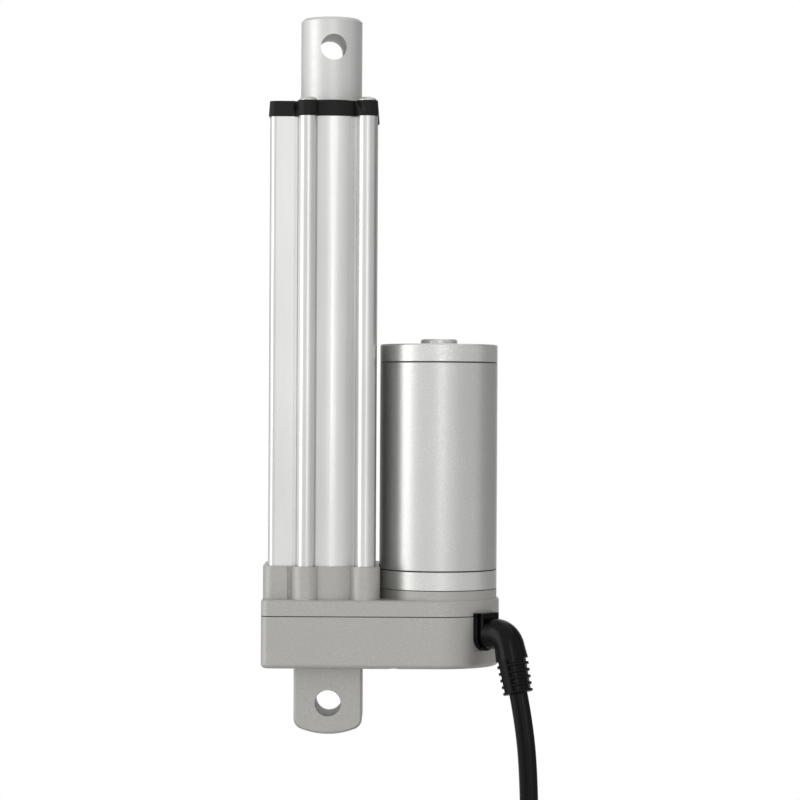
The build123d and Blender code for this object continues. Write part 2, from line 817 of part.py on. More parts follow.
def make_gland():
    """Cable gland: neck through the wall, D-shaped face plate and a block on it."""
    flat = sqrt(housing_half_depth ** 2 - (gland_width / 2) ** 2)
    height = gland_top - gland_bottom
    half = gland_width / 2

    def d_plate(inset, thickness):
        width = half - inset
        top = height / 2
        bottom_centre = -height / 2 + inset + width
        straight = Pos(0, (top + bottom_centre) / 2) * Rectangle(2 * width, top - bottom_centre)
        outline = straight + Pos(0, bottom_centre) * Circle(width)
        return extrude(Plane.YZ * outline, amount=thickness)

    middle = (gland_top + gland_bottom) / 2
    gland = at_cable(d_plate(0, gland_plate), flat, middle)
    gland += at_cable(d_plate(0.9, gland_block), flat, middle)
    neck_height = upper_bottom - gland_bottom - 2.0
    neck = Box(housing_wall + 3.4, neck_width, neck_height)
    gland += at_cable(neck, flat - housing_wall / 2 - 1.2, upper_bottom - neck_height / 2)
    lip = Box(1.2, neck_width + 2, neck_height - 2)
    gland += at_cable(lip, flat - housing_wall - 2.3, upper_bottom - neck_height / 2 - 1)
    return gland


def boot_direction():
    lean = radians(boot_lean)
    return Vector(sin(lean), 0, -cos(lean))


def make_elbow_boot():
    """Elbow that turns the lead downwards, with a ribbed, slotted strain relief."""
    flat = sqrt(housing_half_depth ** 2 - (gland_width / 2) ** 2)
    start = flat + gland_block
    turn = radians(90 - boot_lean)
    bend_start = elbow_reach - start
    first = Cylinder(elbow_radius, bend_start, align=(Align.CENTER, Align.CENTER, Align.MIN))
    first = Rot(0, 90, 0) * first
    section = Pos(bend_start, 0, 0) * (Plane.YZ * Circle(elbow_radius))
    axis = Axis((bend_start, 0, -elbow_bend), (0, 1, 0))
    bend = revolve(section, axis=axis, revolution_arc=degrees(turn))
    end = Vector(bend_start + elbow_bend * sin(turn), 0, -elbow_bend + elbow_bend * cos(turn))
    leg = leg_solid()
    leg_plane = Plane(origin=end, x_dir=(0, 1, 0), z_dir=boot_direction())
    boot = first + bend + leg_plane.location * leg
    return at_cable(boot, start, elbow_level)


def leg_solid():
    """Straight leg of the boot along +Z: smooth cone, then ribs joined by two spines."""
    ribbed = rib_pitch * rib_count
    total = boot_smooth_length + ribbed
    core_start = elbow_radius - rib_height * 0.75
    up = (Align.CENTER, Align.CENTER, Align.MIN)
    smooth = Cone(elbow_radius, elbow_radius + 0.35, boot_smooth_length, align=up)
    core = Pos(0, 0, boot_smooth_length) * Cone(core_start, boot_end_radius - 0.2, ribbed, align=up)
    leg = smooth + core
    outer = elbow_radius + 0.35
    for index in range(rib_count):
        level = boot_smooth_length + rib_pitch * (index + 1) - rib_width
        radius = outer - 0.08 * (index + 1)
        rib = Pos(0, 0, level) * Cylinder(radius, rib_width, align=up)
        leg += fillet(rib.edges().filter_by(GeomType.CIRCLE), rib_width * 0.42)
    spine = Pos(0, 0, boot_smooth_length - 0.5) * Cone(outer, outer - 0.4, ribbed + 0.5 - 0.3, align=up)
    leg += spine & (Pos(0, 0, total / 2) * Box(4 * outer, spine_width, 2 * total))
    return leg


def boot_end():
    """Where the lead leaves the boot."""
    flat = sqrt(housing_half_depth ** 2 - (gland_width / 2) ** 2)
    start = flat + gland_block
    turn = radians(90 - boot_lean)
    along = (elbow_reach - start) + elbow_bend * sin(turn)
    down = -elbow_bend + elbow_bend * cos(turn)
    length = boot_smooth_length + rib_pitch * rib_count
    direction = boot_direction()
    local = Vector(along + direction.X * length, 0, down + direction.Z * length)
    place = Pos(motor_offset, 0, elbow_level) * Rot(0, 0, -cable_angle) * Pos(start, 0, 0)
    tip = place * Pos(*local)
    return tip.position


def boot_heading():
    """Direction in which the boot points, in the frame of the part."""
    return boot_direction().rotate(Axis.Z, -cable_angle)


def lead_end():
    """Where the lead meets the top lobe of the hank, running straight down its front strand."""
    lobe = hank_width / 2
    rise = sqrt(lobe ** 2 - (lobe - lead_diameter) ** 2)
    return *lead_foot, hank_top - lobe + rise + hank_gap


def lead_path(points):
    """Straight runs joined by arcs as large as the runs allow."""
    vectors = [Vector(*point) for point in points]
    radii = []
    for index in range(1, len(vectors) - 1):
        before = vectors[index] - vectors[index - 1]
        after = vectors[index + 1] - vectors[index]
        turn = radians(before.get_angle(after))
        radii.append(0.45 * min(before.length, after.length) / tan(turn / 2))
    print("lead radii", [round(radius, 1) for radius in radii])
    return FilletPolyline(*vectors, radius=radii)


def make_lead():
    start = boot_end()
    print("boot end", start, "direction", boot_heading())
    points = [start, start + boot_heading() * lead_first_run, lead_bend, lead_end()]
    path = lead_path(points)
    mouth = Plane(origin=path @ 0, z_dir=path % 0)
    lead = sweep(mouth * Circle(lead_diameter / 2), path=path)
    expected = pi * lead_diameter ** 2 / 4 * path.length
    print("lead length", round(path.length, 1), "volume", round(lead.volume, 1), round(expected, 1))
    return lead


def hank_outline(inset):
    """Outline of the hank: two round lobes drawn together at a waist."""
    lobe = hank_width / 2 - inset
    waist = hank_waist / 2 - inset
    outline = Pos(0, hank_lobe_offset) * Circle(lobe) + Pos(0, -hank_lobe_offset) * Circle(lobe)
    slope = asin((lobe - waist) / hank_lobe_offset)
    across = lobe * cos(slope)
    along = hank_lobe_offset - lobe * sin(slope)
    right = [(across, along), (waist, 0), (across, -along)]
    left = [(-x, y) for x, y in reversed(right)]
    return outline + make_face(Polyline(*right, *left, close=True))


def hank_centre():
    """The lead runs into the layer of turns nearest to +X, along the strands nearest to the viewer."""
    x, y = lead_foot
    return (
        x - (hank_turns - 1) * lead_diameter / 2,
        y + hank_width / 2 - lead_diameter / 2,
        hank_top - hank_height / 2,
    )


def tail_place():
    """The last layer's front strand runs out of the hank straight down."""
    x, y = lead_foot
    return x - (hank_turns - 1) * lead_diameter, y


def make_hank():
    outline = hank_outline(0)
    lobe = hank_width / 2 - lead_diameter
    outline -= Pos(0, hank_lobe_offset) * Circle(lobe)
    outline -= Pos(0, -hank_lobe_offset) * Circle(lobe)
    body = extrude(Plane.YZ * outline, amount=hank_thickness / 2, both=True)
    turns = Pos(*hank_centre()) * body
    low = hank_top - hank_height
    return turns + disc(lead_diameter / 2, low, low + hank_width / 2, *tail_place())


def make_tie():
    x, y, z = hank_centre()
    half_x = hank_thickness / 2
    spreading = 1.3 * (hank_width - hank_waist) / 2 / hank_lobe_offset
    half_y = hank_waist / 2 + spreading * tie_width / 2 + 0.1
    outer = Box(2 * half_x + 2 * tie_thickness, 2 * half_y + 2 * tie_thickness, tie_width)
    inner = Box(2 * half_x, 2 * half_y, tie_width + 2)
    return Pos(x, y, z) * (outer - inner)


def make_wire_ends():
    x, y = tail_place()
    low = hank_top - hank_height
    apart = wire_radius + 0.4
    return [disc(wire_radius, low - wire_length, low, x + side * apart, y) for side in (-1, 1)]


def main():
    os.makedirs("parts", exist_ok=True)
    lower, upper = switch_levels()
    save("outer_tube", make_outer_tube())
    save("lower_housing", make_lower_housing())
    save("upper_housing", make_upper_housing())
    save("housing_gasket", make_housing_gasket())
    save("tube_gasket", make_tube_gasket())
    save("front_cap", make_front_cap())
    save("cap_gasket", make_cap_gasket())
    save("rod_wiper", make_rod_wiper())
    save("guide_bush", make_guide_bush())
    save("cap_screws", make_cap_screws())
    save("tube_screws", make_tube_screws())
    save("motor_screws", make_motor_screws())
    save("cover_screws", make_cover_screws())
    save("motor_bell", make_motor_bell())
    save("motor_can", make_motor_can())
    save("motor_cap", make_motor_cap())
    save("motor_bushes", make_motor_bushes())
    save("magnets", make_magnets())
    save("brush_card", make_brush_card())
    save("brushes", make_brushes())
    save("motor_shaft", make_motor_shaft())
    save("armature", make_armature())
    save("commutator", make_commutator())
    save("motor_pinion", make_pinion())
    save("idler_gear", make_idler_gear())
    save("idler_axle", make_idler_axle())
    save("output_gear", make_output_gear())
    save("lead_screw", make_lead_screw())
    save("screw_tip_guide", make_tip_guide())
    save("gear_spacer", make_gear_spacer())
    save("bearing_outer_race", make_bearing_outer())
    save("bearing_inner_race", make_bearing_inner())
    save("bearing_balls", make_bearing_balls())
    save("lower_bush", make_lower_bush())
    save("rod_tube", make_rod_tube())
    save("rod_end_plug", make_rod_plug())
    save("drive_nut", make_drive_nut())
    save("nut_pins", make_nut_pins())
    save("switch_board", make_switch_board())
    save("lower_limit_switch", switch_body(lower, 1))
    save("upper_limit_switch", switch_body(upper, 1))
    save("lower_plunger", make_plunger(lower))
    save("upper_plunger", make_plunger(upper))
    save("cable_gland", make_gland())
    save("elbow_boot", make_elbow_boot())
    save("lead", make_lead())
    save("lead_hank", make_hank())
    save("hank_tie", make_tie())
    save("wire_ends", make_wire_ends())


main()
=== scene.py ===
import json
from math import cos, pi, radians, sin, sqrt

import bmesh
import bpy
from mathutils import Matrix, Vector


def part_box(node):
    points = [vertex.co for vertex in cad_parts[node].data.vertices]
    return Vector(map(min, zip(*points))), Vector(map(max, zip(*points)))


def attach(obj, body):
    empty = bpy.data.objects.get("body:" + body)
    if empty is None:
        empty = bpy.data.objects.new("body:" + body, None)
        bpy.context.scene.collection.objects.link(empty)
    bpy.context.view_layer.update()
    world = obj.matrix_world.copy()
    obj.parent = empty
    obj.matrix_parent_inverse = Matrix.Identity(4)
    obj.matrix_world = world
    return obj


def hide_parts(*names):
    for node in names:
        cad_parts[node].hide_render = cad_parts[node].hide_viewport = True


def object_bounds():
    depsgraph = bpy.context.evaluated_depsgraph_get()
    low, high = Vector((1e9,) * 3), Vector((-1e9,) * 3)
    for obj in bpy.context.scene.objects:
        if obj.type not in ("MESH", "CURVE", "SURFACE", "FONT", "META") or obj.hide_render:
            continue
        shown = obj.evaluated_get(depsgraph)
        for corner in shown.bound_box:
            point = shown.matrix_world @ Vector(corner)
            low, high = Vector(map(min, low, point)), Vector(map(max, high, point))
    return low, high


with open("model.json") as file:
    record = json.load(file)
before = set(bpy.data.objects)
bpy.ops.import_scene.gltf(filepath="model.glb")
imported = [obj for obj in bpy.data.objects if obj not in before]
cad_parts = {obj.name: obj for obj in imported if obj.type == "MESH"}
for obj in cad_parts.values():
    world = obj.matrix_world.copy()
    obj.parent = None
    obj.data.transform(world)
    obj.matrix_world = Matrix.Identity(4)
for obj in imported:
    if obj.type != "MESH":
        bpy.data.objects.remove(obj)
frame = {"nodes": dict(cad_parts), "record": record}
cad_low, cad_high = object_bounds()
MM = 0.001

# Camera of the reference view
VIEW_DISTANCE = 0.900
VIEW_X = 0.0229
VIEW_Z = 0.0983
VIEW_LENS = 123.7
VIEW_SENSOR = 36.0
VIEW_ROLL = -0.3
VIEW_CLIP = (0.05, 20)

# Room
FLOOR_GAP = 0.004
FLOOR_RADIUS = 0.55
FLOOR_TONE = (0.92, 0.92, 0.92)
FLOOR_ROUGHNESS = 0.9
WORLD_AS_LIGHT = 0.55
WORLD_AS_SEEN = 1.0

# Lamps: name, place, width and height, power
LAMP_TARGET = (0.02, 0, 0.1)
LAMPS = [
    ("key", (-1.12, -0.46, 0.40), (0.60, 1.1), 4.0),
    ("front", (0.16, -1.45, 0.42), (0.26, 0.9), 1.2),
]

# Flags: name, first and last direction in degrees, shade
FLAG_RADIUS = 0.8
FLAG_LOW = -0.16
FLAG_HIGH = 1.1
FLAG_COLUMNS = 24
FLAGS = [
    ("front_right_flag", 34, 88, 0.72),
    ("right_flag", 88, 155, 0.31),
    ("left_flag", 205, 228, 0.34),
]

# Finishes. A range is the part of a pattern that is used, a swing how far the roughness goes below
# and above its value, a tint how much darker or brighter the colour gets, a relief its depth
GRAIN_RANGE = (0.3, 0.7)
METAL_CLOUD = (60, 60, 18)
METAL_CLOUD_RANGE = (0.35, 0.65)
METAL_TINT = 0.93
METAL_SWING = (-0.05, 0.06)
METAL_BUMP = 0.03
METAL_RELIEF = 0.05 * MM
PAINT_CLOUD = 55.0
PAINT_TONE_RANGE = (0.1, 0.5)
PAINT_TINTS = (0.86, 1.12)
PAINT_SWING = (-0.06, 0.08)
PAINT_RELIEF = 0.2 * MM
FLAKE_SCALE = 1.6
FLAKE_RANGE = (0.0, 0.5)
PLASTIC_CLOUD = 90.0
PLASTIC_CLOUD_RANGE = (0.35, 0.7)
PLASTIC_TINT = 1.25
PLASTIC_LIFT = 0.001
PLASTIC_SWING = (-0.05, 0.07)
PLASTIC_BUMP = 0.08
PLASTIC_RELIEF = 0.1 * MM

# Rear eye, with painted shade inside its cross hole. The wall is where the painted shade fades out,
# beyond the radius
EYE_RADIUS = 4.2 * MM
EYE_WALL = (0.04 * MM, 0.12 * MM)
EYE_SHADE_TONE = (0.19, 0.185, 0.175)

# Rod, with painted shade inside its cross hole. Wall and edge are depths under its round surface,
# end is the depth under its top
ROD_RADIUS = 10.0 * MM
ROD_TOP = 222.5 * MM
BORE_WALL = (0.12 * MM, 0.06 * MM)
BORE_EDGE = (0.75 * MM, 0.45 * MM)
BORE_END = (1.5 * MM, 1.2 * MM)
# Painted shade inside the cross hole, and the darker painted shade line at its edge
BORE_SHADE_TONE = (0.66, 0.66, 0.64)
BORE_EDGE_SHADE_TONE = (0.16, 0.16, 0.15)
BORE_ROUGHNESS = 0.65

# Motor
MOTOR_OFFSET = 35.6 * MM
MOTOR_SEAMS = (36.95 * MM, 43.2 * MM, 110.6 * MM)
# Dark rings of painted shade in the seams
SEAM_SHADE_RING = {"Ring Radius": 18.98 * MM, "Line Radius": 0.17 * MM}

# Angles in degrees past which an edge is sharp
SHARP = 40
SWEEP_SHARP = 50
SCREW_SHARP = 30

# Pan head screws, places in millimetres from the rod axis. Reach and depth of the recess are
# shares of the head's radius and height
CAP_SCREW_PLACES = [(-7.1, -14.5), (-7.1, 14.5), (11.9, -14.5), (11.9, 14.5)]
CAP_TOP = 194.6 * MM
CAP_SCREW = {
    "Head Radius": 3.1 * MM,
    "Head Height": 1.35 * MM,
    "Recess Width": 0.75 * MM,
    "Shank Radius": 1.6 * MM,
    "Shank Length": 12 * MM,
}
COVER_SCREW_PLACES = [(-17.0, -15.6), (-17.0, 15.6), (21.2, -16.4), (21.2, 16.4), (50.6, 4.0)]
COVER_SEAT = 14.0 * MM
COVER_SCREW = {
    "Head Radius": 2.75 * MM,
    "Head Height": 1.7 * MM,
    "Recess Width": 0.7 * MM,
    "Shank Radius": 1.45 * MM,
    "Shank Length": 17.9 * MM,
}
RECESS_REACH = 1.15
RECESS_DEPTH = 1.3
SCREW_TURN_SEED = 7

# Lead screw. Root and crest widths of the thread are shares of its lead
SCREW_THREAD = {"Core Radius": 4.2 * MM, "Crest Radius": 5.0 * MM, "Lead": 3.0 * MM}
THREAD_ROOT_WIDTH = 0.55
THREAD_CREST_WIDTH = 0.35
SCREW_TIP = 0.9 * MM
SCREW_JOURNAL_TOP = 36.3 * MM
SCREW_COLLAR = 15.2 * MM
JOURNAL_RADIUS = 4.0 * MM
TAIL_RADIUS = 3.0 * MM

# Lead, its route in millimetres: out of the boot, down, and into the front strand of the hank
LEAD_DIAMETER = 5.9 * MM
LEAD_THICKNESS = 4.4 * MM
GROOVE_DEPTH = 0.80 * MM
GROOVE_HALF_WIDTH = 1.35 * MM
LEAD_ROUTE = [
    (61.12, -22.98, 4.89),
    (63.33, -24.96, -6.74),
    (64.55, -25.62, -24.5),
    (64.7, -25.7, -41.4),
    (64.7, -25.8, -54.0),
]
ROUTE_ORDER = 3
ROUTE_RESOLUTION = 9
WIDE_AXIS = Vector((1, 0, 0))

# Hank of the length that is put away, tied at its waist. Reach is from the waist to the middle of
# a lobe, strand from the middle to the tail, waist from the middle to the strands at the tie, and
# tie run half the straight length there. The tail's drops are from the middle of the lower lobe
HANK_CENTRE = (55.85 * MM, -7.65 * MM, -91.2 * MM)
HANK_REACH = 35.0 * MM
HANK_STRAND = 18.05 * MM
HANK_LOBE = 19.0 * MM
HANK_WAIST = 3.3 * MM
HANK_TIE_RUN = 7.0 * MM
HANK_TAIL = (2 * MM, 21 * MM)
HANK_TURNS = 3
HANK_LOOSENESS = (1.0, 0.985, 1.01, 0.99)
LOBE_START = -24.5
LOBE_SWEEP = 229.0
LOBE_STEPS = 7
LOBE_ANGLES = [
    radians(LOBE_START + LOBE_SWEEP * step / LOBE_STEPS) for step in range(LOBE_STEPS + 1)
]

# Bared ends. The sleeve's levels are from the top and from the bottom of the ends, and circle and
# radius of a strand are shares of the core's radius
CORE_SPLAY = 0.2 * MM
SLEEVE_FROM_TOP = (1 * MM, -4 * MM)
SLEEVE_FROM_BOTTOM = (9 * MM, 6 * MM)
STRANDS = 7
STRAND_STEPS = 24
STRAND_LENGTH = 6.6 * MM
STRAND_TURNS = 1.1
STRAND_CIRCLE = 0.52
STRAND_RADIUS = 0.26

# Ratchet tie
TIE_INSET = 0.8 * MM
TIE_CORNER = 3 * MM
TIE_CORNER_STEPS = 6
TIE_HALF_THICKNESS = 0.55 * MM
TIE_EDGE = 0.25 * MM
TIE_HEAD = (6 * MM, 2.4 * MM)
TIE_HEAD_INSET = 1.6 * MM
TIE_HEAD_BEVEL = 0.5 * MM


def new_material(name):
    """Material with one Principled shader, returned with its tree and shader."""
    material = bpy.data.materials.new(name)
    material.use_nodes = True
    tree = material.node_tree
    return material, tree, tree.nodes["Principled BSDF"]


def object_coordinates(tree, scale=(1, 1, 1)):
    """Object coordinates, scaled by a Mapping node."""
    source = tree.nodes.new("ShaderNodeTexCoord")
    mapping = tree.nodes.new("ShaderNodeMapping")
    mapping.inputs["Scale"].default_value = scale
    tree.links.new(source.outputs["Object"], mapping.inputs["Vector"])
    return mapping.outputs["Vector"]


def noise(tree, vector, scale, detail=4.0, roughness=0.55):
    """Noise pattern, returned as its factor."""
    node = tree.nodes.new("ShaderNodeTexNoise")
    node.inputs["Scale"].default_value = scale
    node.inputs["Detail"].default_value = detail
    node.inputs["Roughness"].default_value = roughness
    tree.links.new(vector, node.inputs["Vector"])
    return node.outputs["Fac"]


def spread(tree, value, low, high, out_low, out_high):
    """Map a value from one range to another, kept inside it."""
    node = tree.nodes.new("ShaderNodeMapRange")
    node.inputs["From Min"].default_value = low
    node.inputs["From Max"].default_value = high
    node.inputs["To Min"].default_value = out_low
    node.inputs["To Max"].default_value = out_high
    tree.links.new(value, node.inputs["Value"])
    return node.outputs["Result"]


def calculate(tree, operation, first, second):
    """Result of a Math node on two values, each a socket or a plain float."""
    node = tree.nodes.new("ShaderNodeMath")
    node.operation = operation
    for socket, value in zip(node.inputs, (first, second)):
        if isinstance(value, float):
            socket.default_value = value
        else:
            tree.links.new(value, socket)
    return node.outputs["Value"]


def blend_colours(tree, factor, first, second):
    """Colour that runs from the first to the second with the factor."""
    node = tree.nodes.new("ShaderNodeMix")
    node.data_type = "RGBA"
    for name, colour in (("A", first), ("B", second)):
        if isinstance(colour, tuple):
            node.inputs[name].default_value = (*colour, 1)
        else:
            tree.links.new(colour, node.inputs[name])
    tree.links.new(factor, node.inputs["Factor"])
    return node.outputs["Result"]


def tinted(colour, factor, lift=0.0):
    """Colour made darker or brighter, at most white."""
    return tuple(min(channel * factor + lift, 1.0) for channel in colour)


def bump(tree, shader, height, strength, distance):
    """Relief of the surface from a height pattern."""
    node = tree.nodes.new("ShaderNodeBump")
    node.inputs["Strength"].default_value = strength
    node.inputs["Distance"].default_value = distance
    tree.links.new(height, node.inputs["Height"])
    tree.links.new(node.outputs["Normal"], shader.inputs["Normal"])


def vary_roughness(tree, shader, pattern, roughness, swing):
    """Roughness that follows a pattern about its value."""
    low, high = (roughness + step for step in swing)
    tree.links.new(spread(tree, pattern, *GRAIN_RANGE, low, high), shader.inputs["Roughness"])


def drawn_metal(name, colour, roughness, grain=(900, 900, 14), metallic=1.0):
    """Extruded, anodised or turned metal: fine lines along one direction."""
    material, tree, shader = new_material(name)
    shader.inputs["Metallic"].default_value = metallic
    lines = noise(tree, object_coordinates(tree, grain), 1.0, 3.0)
    cloud = noise(tree, object_coordinates(tree, METAL_CLOUD), 1.0, 2.0)
    tone = spread(tree, cloud, *METAL_CLOUD_RANGE, 0.0, 1.0)
    blend = blend_colours(tree, tone, tinted(colour, METAL_TINT), colour)
    tree.links.new(blend, shader.inputs["Base Color"])
    vary_roughness(tree, shader, lines, roughness, METAL_SWING)
    bump(tree, shader, lines, METAL_BUMP, METAL_RELIEF)
    return material


def shader_of(material):
    """Tree of a finished material and its Principled shader."""
    tree = material.node_tree
    return tree, next(node for node in tree.nodes if node.type == "BSDF_PRINCIPLED")


def axis_distance(tree, first, second):
    """Distance from the axis that the two named coordinates are square to, and the coordinates."""
    split = tree.nodes.new("ShaderNodeSeparateXYZ")
    tree.links.new(object_coordinates(tree), split.inputs["Vector"])
    flat = tree.nodes.new("ShaderNodeCombineXYZ")
    for name in (first, second):
        tree.links.new(split.outputs[name], flat.inputs[name])
    distance = tree.nodes.new("ShaderNodeVectorMath")
    distance.operation = "LENGTH"
    tree.links.new(flat.outputs["Vector"], distance.inputs[0])
    return distance.outputs["Value"], split.outputs


def paint_bore_shade(material, radius, top):
    """Rougher metal inside a round rod, with painted shade: darker inside its cross hole, and
    darkest as a fine painted shade line where the hole breaks out."""
    tree, shader = shader_of(material)
    distance, coordinates = axis_distance(tree, "X", "Y")
    # Mask of rougher bare metal with painted shade, inside the rod's surface and below its top
    inside = spread(tree, distance, *(radius - depth for depth in BORE_WALL), 1.0, 0.0)
    below = spread(tree, coordinates["Z"], *(top - depth for depth in BORE_END), 1.0, 0.0)
    bare = calculate(tree, "MULTIPLY", inside, below)
    # Painted shade, darkest as a fine line where the hole breaks out
    edge = spread(tree, distance, *(radius - depth for depth in BORE_EDGE), 0.0, 1.0)
    tone = blend_colours(tree, edge, BORE_SHADE_TONE, BORE_EDGE_SHADE_TONE)
    base = shader.inputs["Base Color"].links[0].from_socket
    tree.links.new(blend_colours(tree, bare, base, tone), shader.inputs["Base Color"])
    rough = shader.inputs["Roughness"].links[0].from_socket
    mixed = tree.nodes.new("ShaderNodeMix")
    tree.links.new(bare, mixed.inputs["Factor"])
    tree.links.new(rough, mixed.inputs[2])
    mixed.inputs[3].default_value = BORE_ROUGHNESS
    tree.links.new(mixed.outputs[0], shader.inputs["Roughness"])
    return material


def paint_eye_shade(material, radius):
    """Painted shade: darker colour inside the cross hole of the rear eye, which runs along Y
    through the origin."""
    tree, shader = shader_of(material)
    distance, _ = axis_distance(tree, "X", "Z")
    # Painted shade inside the hole
    inside = spread(tree, distance, *(radius + step for step in EYE_WALL), 1.0, 0.0)
    base = shader.inputs["Base Color"].links[0].from_socket
    tree.links.new(blend_colours(tree, inside, base, EYE_SHADE_TONE), shader.inputs["Base Color"])
    return material


def cast_paint(name, colour, roughness, grain, strength, metallic=0.45):
    """Die casting under metallic paint: pebbled relief with brighter flakes."""
    material, tree, shader = new_material(name)
    shader.inputs["Metallic"].default_value = metallic
    vector = object_coordinates(tree)
    pebbles = noise(tree, vector, grain, 5.0, 0.6)
    cloud = noise(tree, vector, PAINT_CLOUD, 3.0)
    flakes = tree.nodes.new("ShaderNodeTexVoronoi")
    flakes.inputs["Scale"].default_value = grain * FLAKE_SCALE
    tree.links.new(vector, flakes.inputs["Vector"])
    sparkle = spread(tree, flakes.outputs["Distance"], *FLAKE_RANGE, 1.0, 0.0)
    mixed = calculate(tree, "MULTIPLY", sparkle, cloud)
    tone = spread(tree, mixed, *PAINT_TONE_RANGE, 0.0, 1.0)
    darker, brighter = (tinted(colour, factor) for factor in PAINT_TINTS)
    tree.links.new(blend_colours(tree, tone, darker, brighter), shader.inputs["Base Color"])
    vary_roughness(tree, shader, pebbles, roughness, PAINT_SWING)
    bump(tree, shader, pebbles, strength, PAINT_RELIEF)
    return material


def moulded(name, colour, roughness, grain=1400.0, gloss=0.3):
    """Moulded plastic or rubber with a fine skin and slight unevenness in gloss."""
    material, tree, shader = new_material(name)
    vector = object_coordinates(tree)
    skin = noise(tree, vector, grain, 4.0)
    cloud = noise(tree, vector, PLASTIC_CLOUD, 3.0)
    lighter = tinted(colour, PLASTIC_TINT, PLASTIC_LIFT)
    tone = spread(tree, cloud, *PLASTIC_CLOUD_RANGE, 0.0, 1.0)
    tree.links.new(blend_colours(tree, tone, colour, lighter), shader.inputs["Base Color"])
    vary_roughness(tree, shader, cloud, roughness, PLASTIC_SWING)
    shader.inputs["Specular IOR Level"].default_value = gloss
    bump(tree, shader, skin, PLASTIC_BUMP, PLASTIC_RELIEF)
    return material


def make_materials():
    """One finish for each material slot of the record."""
    rod = drawn_metal("rod_aluminium", (0.70, 0.70, 0.69), 0.46, (30, 30, 1500), metallic=0.6)
    housing = cast_paint("cast_housing", (0.535, 0.528, 0.502), 0.46, 1300.0, 0.22)
    motor_paint = (0.685, 0.685, 0.67)
    motor_cast = (0.765, 0.765, 0.745)
    ferrite = (0.05, 0.05, 0.05)
    return {
        "tube_aluminium": drawn_metal("tube_aluminium", (0.63, 0.63, 0.62), 0.30),
        # Rod with painted shade inside its cross hole
        "rod_aluminium": paint_bore_shade(rod, ROD_RADIUS, ROD_TOP),
        # Housing with painted shade inside the hole of its rear eye
        "cast_housing": paint_eye_shade(housing, EYE_RADIUS),
        "motor_paint": cast_paint("motor_paint", motor_paint, 0.345, 1500.0, 0.04, metallic=0.8),
        "motor_cast": cast_paint("motor_cast", motor_cast, 0.36, 1100.0, 0.12, metallic=0.75),
        "black_plastic": moulded("black_plastic", (0.010, 0.010, 0.0095), 0.42, gloss=0.16),
        "black_rubber": moulded("black_rubber", (0.008, 0.008, 0.008), 0.62, gloss=0.14),
        "black_pvc": moulded("black_pvc", (0.001, 0.001, 0.001), 0.21, grain=900.0, gloss=0.15),
        "gasket": moulded("gasket", (0.03, 0.03, 0.03), 0.7),
        "white_acetal": moulded("white_acetal", (0.80, 0.79, 0.75), 0.38),
        "zinc_steel": drawn_metal("zinc_steel", (0.58, 0.58, 0.56), 0.30, (700, 700, 700)),
        "ground_steel": drawn_metal("ground_steel", (0.60, 0.60, 0.60), 0.24, (40, 40, 1400)),
        "bronze": drawn_metal("bronze", (0.55, 0.36, 0.16), 0.40, (600, 600, 600)),
        "copper": drawn_metal("copper", (0.75, 0.36, 0.20), 0.28, (40, 40, 1200)),
        "tinned_copper": drawn_metal("tinned_copper", (0.70, 0.68, 0.64), 0.35, (1500, 1500, 300)),
        "magnet_ferrite": cast_paint("magnet_ferrite", ferrite, 0.6, 1300.0, 0.2, metallic=0.1),
        "brown_card": moulded("brown_card", (0.16, 0.07, 0.03), 0.5),
        "carbon": moulded("carbon", (0.03, 0.03, 0.03), 0.55),
        "armature_steel": drawn_metal("armature_steel", (0.28, 0.24, 0.20), 0.45, (60, 60, 3000)),
        "green_board": moulded("green_board", (0.02, 0.16, 0.06), 0.35),
        "core_red": moulded("core_red", (0.42, 0.02, 0.02), 0.4),
        "core_black": moulded("core_black", (0.015, 0.015, 0.015), 0.4),
    }


def dress_nodes(materials):
    """Give every CAD node the finish of its slot."""
    for subpart in frame["record"]["subparts"]:
        node = frame["nodes"][subpart["node"]]
        node.data.materials.clear()
        node.data.materials.append(materials[subpart["material_slot"]])


def add_piece(name, mesh, body, slot, material, *nodes):
    """Put a finished mesh in the scene, riding on its body and standing for its nodes."""
    piece = bpy.data.objects.new(name, mesh)
    bpy.context.scene.collection.objects.link(piece)
    piece.data.materials.clear()
    piece.data.materials.append(material)
    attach(piece, body)
    if nodes:
        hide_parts(*nodes)
    return piece


def new_tree(name, sizes):
    """Geometry tree with a geometry input, named sizes in metres and a material, and its output."""
    tree = bpy.data.node_groups.new(name, "GeometryNodeTree")
    tree.interface.new_socket("Places", in_out="INPUT", socket_type="NodeSocketGeometry")
    for size in sizes:
        tree.interface.new_socket(size, in_out="INPUT", socket_type="NodeSocketFloat")
    tree.interface.new_socket("Finish", in_out="INPUT", socket_type="NodeSocketMaterial")
    tree.interface.new_socket("Geometry", in_out="OUTPUT", socket_type="NodeSocketGeometry")
    return tree, tree.nodes.new("NodeGroupInput").outputs, tree.nodes.new("NodeGroupOutput").inputs


def add_node(tree, kind, links=(), values=(), **settings):
    """Node with its settings, its linked inputs and its fixed inputs, by socket name."""
    node = tree.nodes.new(kind)
    for name, value in settings.items():
        setattr(node, name, value)
    for socket, source in dict(links).items():
        tree.links.new(source, node.inputs[socket])
    for socket, value in dict(values).items():
        node.inputs[socket].default_value = value
    return node


def lifted(tree, geometry, height):
    """Geometry moved along Z by a height."""
    offset = add_node(tree, "ShaderNodeCombineXYZ", {"Z": height})
    links = {"Geometry": geometry, "Translation": offset.outputs["Vector"]}
    return add_node(tree, "GeometryNodeTransform", links).outputs["Geometry"]


def cylinder(tree, radius, depth, vertices):
    """Upright cylinder about the origin."""
    links = {"Radius": radius, "Depth": depth}
    node = add_node(tree, "GeometryNodeMeshCylinder", links, {"Vertices": vertices})
    return node.outputs["Mesh"]


def joined(tree, *parts):
    """All the parts as one geometry."""
    node = add_node(tree, "GeometryNodeJoinGeometry")
    for part in parts:
        tree.links.new(part, node.inputs["Geometry"])
    return node.outputs["Geometry"]


